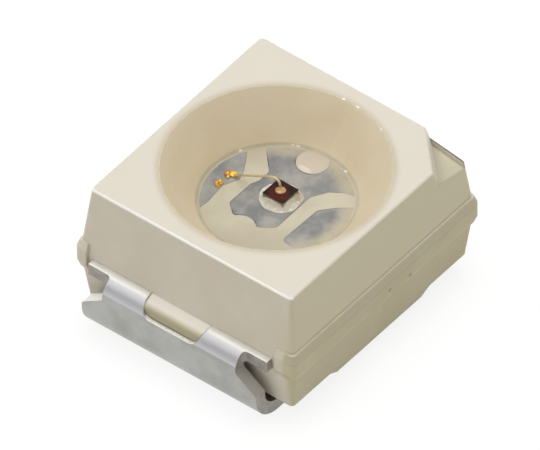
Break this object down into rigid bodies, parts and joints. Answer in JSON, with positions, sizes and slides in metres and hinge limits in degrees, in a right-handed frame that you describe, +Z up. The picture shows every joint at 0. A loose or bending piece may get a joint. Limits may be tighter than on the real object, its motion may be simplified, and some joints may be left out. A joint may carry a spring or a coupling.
{
  "type": "surface mount led",
  "caption": "White surface mount LED with a resin filled reflector cup, a chamfered polarity corner and folded solder leads.",
  "frame": {"origin": "middle of the package on the board plane, the underside of both solder pads", "axes": "+X along the two leads towards the cathode and its chamfered corner, which lies at -Y, +Z up out of the board"},
  "size_m": [0.0036, 0.003, 0.0018],
  "materials": {
    "white_plastic": "matt, filled high temperature thermoplastic",
    "silver_plate": "satin silver plate on copper alloy",
    "chip": "sawn and etched crystal",
    "adhesive": "silver filled, cured",
    "gold": "bright drawn gold",
    "clear_resin": "clear cast epoxy, glossy"
  },
  "bodies": {
    "root": {"housing": "white_plastic", "cathode_lead": "silver_plate", "anode_lead": "silver_plate", "led_die": "chip", "die_attach": "adhesive", "bond_wire": "gold", "bond_bump": "gold", "encapsulant": "clear_resin"}
  },
  "joints": []
}
